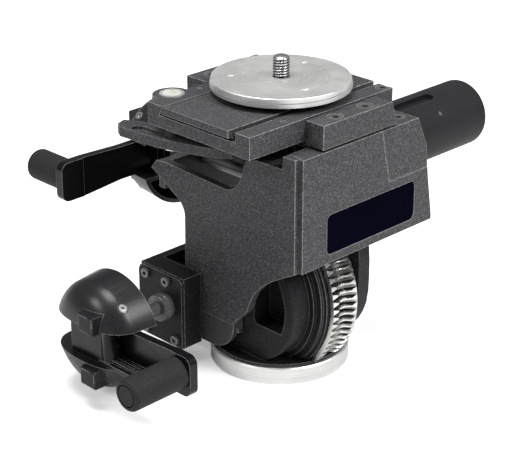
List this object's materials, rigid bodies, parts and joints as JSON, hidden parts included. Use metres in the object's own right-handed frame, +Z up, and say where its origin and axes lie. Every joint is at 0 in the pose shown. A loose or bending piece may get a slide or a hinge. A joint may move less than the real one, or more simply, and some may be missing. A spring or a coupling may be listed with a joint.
{
  "type": "geared tripod head",
  "caption": "Geared head for a camera stand: toothed tilt wheel, tilting cast housing, two split-knob cranks with turning grips, sliding camera plate with disc, and a spring tube.",
  "frame": {"origin": "centre of the underside of the base ring", "axes": "+Z up along the pan axis, +X along the side tilt axis towards the spring tube, +Y away from the label face"},
  "size_m": [0.2897, 0.1777, 0.1854],
  "materials": {
    "aluminium": "satin turned",
    "dark_cast": "matte",
    "steel": "satin",
    "black_cast": "fine grain, satin",
    "bright_gear": "machined",
    "grey_cast": "fine grain powder coat",
    "label": "gloss, blank",
    "bronze": "plain",
    "tube": "matte",
    "glass": "clear",
    "rubber": "matte",
    "gloss_black": "satin gloss",
    "button": "matte"
  },
  "bodies": {
    "base": {"base_ring": "aluminium", "base_disc": "dark_cast", "thread_insert": "steel", "pan_spindle": "steel", "spindle_nut": "steel"},
    "turret": {"turret_body": "black_cast", "side_rings": "black_cast", "tilt_wheel": "bright_gear", "tilt_axle": "steel", "pan_gearbox": "grey_cast", "pan_gearbox_cover": "grey_cast", "pan_cover_screws": "steel", "pan_collar": "steel"},
    "housing": {"left_side_plate": "grey_cast", "tilt_pointer": "steel", "label_housing": "grey_cast", "rear_block": "grey_cast", "rear_block_screw": "steel", "label_panel": "label", "right_cheek": "black_cast", "tilt_bushings": "bronze", "worm_bearings": "bronze", "hinge_axle": "steel", "spring_tube": "tube", "tube_sleeve": "dark_cast", "tube_screw": "steel"},
    "platform": {"receiver": "grey_cast", "receiver_screws": "steel", "receiver_pins": "steel", "clamp_block": "grey_cast", "platform_screws": "steel", "side_block": "grey_cast", "level_body": "aluminium", "level_glass": "glass", "hinge_bracket": "black_cast", "lever_screw": "steel"},
    "lock_lever": {"lock_lever": "black_cast"},
    "camera_plate": {"camera_plate": "black_cast", "camera_pad": "rubber", "camera_disc": "aluminium"},
    "camera_screw": {"camera_screw": "steel"},
    "pan_crank": {"pan_crank_shaft": "steel", "pan_crank_arm": "gloss_black", "pan_shell_upper": "gloss_black", "pan_shell_lower": "gloss_black", "pan_shell_screws": "steel", "pan_grip_pin": "steel"},
    "pan_grip": {"pan_grip": "rubber"},
    "pan_button_upper": {"pan_button_upper": "button"},
    "pan_button_lower": {"pan_button_lower": "button"},
    "side_crank": {"side_crank_shaft": "steel", "side_crank_arm": "gloss_black", "side_shell_upper": "gloss_black", "side_shell_lower": "gloss_black", "side_shell_screws": "steel", "side_grip_pin": "steel"},
    "side_grip": {"side_grip": "rubber"},
    "side_button_upper": {"side_button_upper": "button"},
    "side_button_lower": {"side_button_lower": "button"}
  },
  "joints": [
    {"name": "pan", "type": "hinge", "parent": "base", "child": "turret", "pos_m": [0, 0, 0.0107], "axis": [0, 0, 1], "continuous": true},
    {"name": "side_tilt", "type": "hinge", "parent": "turret", "child": "housing", "pos_m": [0, 0, 0.048], "axis": [1, 0, 0], "range_deg": [-2.5, 24]},
    {"name": "front_tilt", "type": "hinge", "parent": "housing", "child": "platform", "pos_m": [-0.028, 0, 0.139], "axis": [0, -1, 0], "range_deg": [0, 45]},
    {"name": "lock_lever_swing", "type": "hinge", "parent": "platform", "child": "lock_lever", "pos_m": [-0.0558, 0.0287, 0.143], "axis": [0, 0, 1], "range_deg": [-8, 0]},
    {"name": "plate_slide", "type": "slide", "parent": "platform", "child": "camera_plate", "axis": [1, 0, 0], "range_m": [-0.02, 0.02]},
    {"name": "camera_screw_turn", "type": "hinge", "parent": "camera_plate", "child": "camera_screw", "pos_m": [0, 0, 0.1734], "axis": [0, 0, 1], "continuous": true},
    {"name": "pan_crank_turn", "type": "hinge", "parent": "turret", "child": "pan_crank", "pos_m": [-0.104, 0.0374, 0.0376], "axis": [1, 0, 0], "continuous": true},
    {"name": "pan_grip_spin", "type": "hinge", "parent": "pan_crank", "child": "pan_grip", "pos_m": [-0.124, -0.0275, 0.0376], "axis": [1, 0, 0], "continuous": true},
    {"name": "pan_button_upper_press", "type": "slide", "parent": "pan_crank", "child": "pan_button_upper", "axis": [1, 0, 0], "range_m": [0, 0.0025], "stiffness_N_per_m": 400},
    {"name": "pan_button_lower_press", "type": "slide", "parent": "pan_crank", "child": "pan_button_lower", "axis": [1, 0, 0], "range_m": [0, 0.0025], "stiffness_N_per_m": 400},
    {"name": "side_crank_turn", "type": "hinge", "parent": "housing", "child": "side_crank", "pos_m": [-0.00145, 0.092, 0.108], "axis": [0, 1, 0], "continuous": true},
    {"name": "side_grip_spin", "type": "hinge", "parent": "side_crank", "child": "side_grip", "pos_m": [-0.078, 0.107, 0.108], "axis": [0, 1, 0], "continuous": true},
    {"name": "side_button_upper_press", "type": "slide", "parent": "side_crank", "child": "side_button_upper", "axis": [0, -1, 0], "range_m": [0, 0.0025], "stiffness_N_per_m": 400},
    {"name": "side_button_lower_press", "type": "slide", "parent": "side_crank", "child": "side_button_lower", "axis": [0, -1, 0], "range_m": [0, 0.0025], "stiffness_N_per_m": 400}
  ],
  "couplings": [
    {"joint": "pan_crank_turn", "follows": "pan", "ratio": 72},
    {"joint": "side_crank_turn", "follows": "side_tilt", "ratio": -72}
  ]
}
